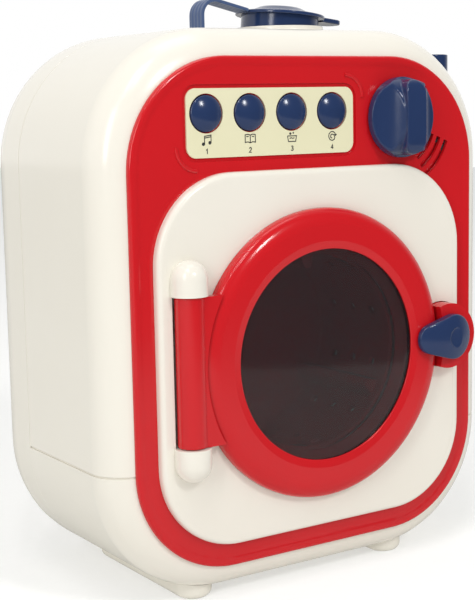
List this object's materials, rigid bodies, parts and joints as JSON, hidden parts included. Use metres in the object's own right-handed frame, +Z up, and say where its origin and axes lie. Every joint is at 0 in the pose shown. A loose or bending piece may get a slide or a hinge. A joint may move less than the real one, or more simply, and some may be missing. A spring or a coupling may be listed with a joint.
{
  "type": "toy washing machine",
  "caption": "Toy front-loading washer with a red front frame, round smoked-window door, push buttons, knob, geared drum, top filler and swinging drain pipe.",
  "frame": {"origin": "on the floor, below the middle of the casing's width and depth", "axes": "+Z up, -Y out of the front, +X to the right as seen from the front"},
  "size_m": [0.2278, 0.1375, 0.2651],
  "materials": {
    "cream_shell": "glossy moulded, faint ivory",
    "red_moulding": "glossy moulded red",
    "blue_moulding": "glossy moulded navy blue",
    "blue_strap": "soft satin blue",
    "label": "satin pale yellow",
    "smoked_window": "smoked transparent",
    "tub_plastic": "natural moulded",
    "gear_plastic": "natural acetal",
    "black_rubber": "satin",
    "grey_rubber": "satin",
    "steel": "bright",
    "motor_steel": "plated",
    "brass": "turned",
    "copper_winding": "enamelled wire",
    "board": "green board",
    "switch_plastic": "dark moulded",
    "cone_paper": "pressed fibre",
    "battery_jacket": "plain grey sleeve"
  },
  "bodies": {
    "casing": {"upper_casing": "cream_shell", "base_casing": "cream_shell", "rear_cover": "cream_shell", "left_foot_rail": "cream_shell", "right_foot_rail": "cream_shell", "front_frame": "red_moulding", "front_panel": "cream_shell", "label_plate": "label", "keypad_membrane": "grey_rubber", "circuit_board": "board", "board_screws": "steel", "selector_switch": "switch_plastic", "speaker_basket": "steel", "speaker_cone": "cone_paper", "hinge_pin": "steel", "door_seal": "grey_rubber", "tub": "tub_plastic", "tub_screws": "steel", "shaft_bush": "brass", "shaft_seal": "black_rubber", "idler_axle": "steel", "motor_can": "motor_steel", "gearbox_plate": "gear_plastic", "gearbox_housing": "gear_plastic", "gearbox_screws": "steel", "battery_box": "tub_plastic", "batteries": "battery_jacket", "battery_contacts": "steel", "filler_neck": "cream_shell", "cap_strap": "blue_strap", "filler_funnel": "tub_plastic", "drain_duct": "tub_plastic", "outlet_spigot": "cream_shell", "spigot_seal": "black_rubber", "cover_screws": "steel"},
    "door": {"door_ring": "red_moulding", "door_window": "smoked_window", "door_retainer": "red_moulding"},
    "latch": {"door_latch": "blue_moulding", "latch_washer": "steel"},
    "knob": {"programme_knob": "blue_moulding"},
    "button_1_key": {"button_1": "blue_moulding"},
    "button_2_key": {"button_2": "blue_moulding"},
    "button_3_key": {"button_3": "blue_moulding"},
    "button_4_key": {"button_4": "blue_moulding"},
    "drum_assembly": {"drum": "red_moulding", "drum_shaft": "steel", "drum_gear": "gear_plastic"},
    "idler": {"idler_gear": "gear_plastic"},
    "motor_armature": {"motor_rotor": "copper_winding", "motor_pinion": "brass"},
    "cap": {"filler_cap": "blue_moulding"},
    "pipe": {"drain_pipe": "blue_moulding"},
    "battery_hatch": {"battery_cover": "cream_shell", "battery_cover_screw": "steel"}
  },
  "joints": [
    {"name": "door_hinge", "type": "hinge", "parent": "casing", "child": "door", "pos_m": [-0.069, -0.0655, 0.1074], "axis": [0, 0, -1], "range_deg": [0, 110]},
    {"name": "latch_turn", "type": "hinge", "parent": "casing", "child": "latch", "pos_m": [0.07, -0.071, 0.1084], "axis": [0, -1, 0], "range_deg": [-90, 90]},
    {"name": "knob_turn", "type": "hinge", "parent": "casing", "child": "knob", "pos_m": [0.0485, -0.06, 0.2104], "axis": [0, -1, 0], "range_deg": [-150, 150]},
    {"name": "button_1_press", "type": "slide", "parent": "casing", "child": "button_1_key", "axis": [0, 1, 0], "range_m": [0, 0.002], "stiffness_N_per_m": 250, "springref_m": -0.001},
    {"name": "button_2_press", "type": "slide", "parent": "casing", "child": "button_2_key", "axis": [0, 1, 0], "range_m": [0, 0.002], "stiffness_N_per_m": 250, "springref_m": -0.001},
    {"name": "button_3_press", "type": "slide", "parent": "casing", "child": "button_3_key", "axis": [0, 1, 0], "range_m": [0, 0.002], "stiffness_N_per_m": 250, "springref_m": -0.001},
    {"name": "button_4_press", "type": "slide", "parent": "casing", "child": "button_4_key", "axis": [0, 1, 0], "range_m": [0, 0.002], "stiffness_N_per_m": 250, "springref_m": -0.001},
    {"name": "drum_spin", "type": "hinge", "parent": "casing", "child": "drum_assembly", "pos_m": [0, 0, 0.1074], "axis": [0, -1, 0], "continuous": true},
    {"name": "idler_spin", "type": "hinge", "parent": "casing", "child": "idler", "pos_m": [0.0114, 0.02, 0.12715], "axis": [0, -1, 0], "continuous": true},
    {"name": "motor_spin", "type": "hinge", "parent": "casing", "child": "motor_armature", "pos_m": [0.02869, 0.03, 0.12085], "axis": [0, -1, 0], "continuous": true},
    {"name": "cap_hinge", "type": "hinge", "parent": "casing", "child": "cap", "pos_m": [-0.0285, -0.01, 0.2502], "axis": [0, -1, 0], "range_deg": [0, 110], "deforming": ["cap_strap"]},
    {"name": "pipe_swing", "type": "hinge", "parent": "casing", "child": "pipe", "pos_m": [0.1144, -0.007, 0.043], "axis": [-1, 0, 0], "range_deg": [0, 95]},
    {"name": "hatch_slide", "type": "slide", "parent": "casing", "child": "battery_hatch", "axis": [0, 1, 0], "range_m": [0, 0.02]}
  ],
  "couplings": [
    {"joint": "idler_spin", "follows": "drum_spin", "ratio": -3.75},
    {"joint": "motor_spin", "follows": "drum_spin", "ratio": 13.5}
  ]
}
